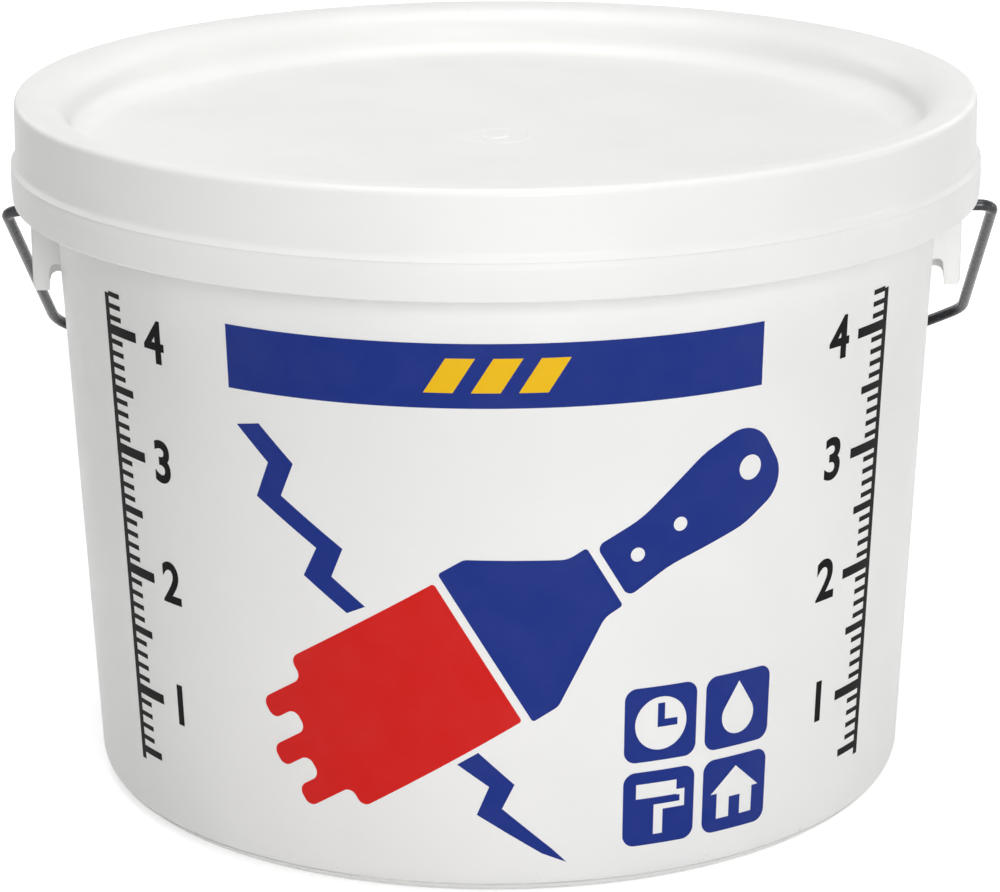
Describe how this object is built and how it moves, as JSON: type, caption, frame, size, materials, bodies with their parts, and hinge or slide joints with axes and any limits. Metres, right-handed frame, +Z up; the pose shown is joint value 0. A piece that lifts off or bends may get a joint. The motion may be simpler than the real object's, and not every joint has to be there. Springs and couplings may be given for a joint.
{
  "type": "wall filler tub",
  "caption": "Round tapered plastic tub of ready mixed wall filler, with a press-on recessed lid and a wire bail that swings in moulded ears.",
  "frame": {"origin": "on the ground, at the centre of the tub's foot", "axes": "+Z up along the tub's axis, +X along the bail's pivot line to the right, front towards -Y, the bail hanging at the back towards +Y"},
  "size_m": [0.2456, 0.2362, 0.1712],
  "materials": {
    "tub_plastic": "satin",
    "filler_paste": "matte",
    "lid_plastic": "satin",
    "galvanised_wire": "satin"
  },
  "bodies": {
    "tub": {"tub": "tub_plastic", "filler": "filler_paste"},
    "lid": {"lid": "lid_plastic"},
    "bail": {"bail": "galvanised_wire"}
  },
  "joints": [
    {"name": "bail_swing", "type": "hinge", "parent": "tub", "child": "bail", "pos_m": [0, 0, 0.14], "axis": [1, 0, 0], "range_deg": [0, 251.8]},
    {"name": "lid_lift", "type": "slide", "parent": "tub", "child": "lid", "axis": [0, 0, 1], "range_m": [0, 0.08]}
  ]
}
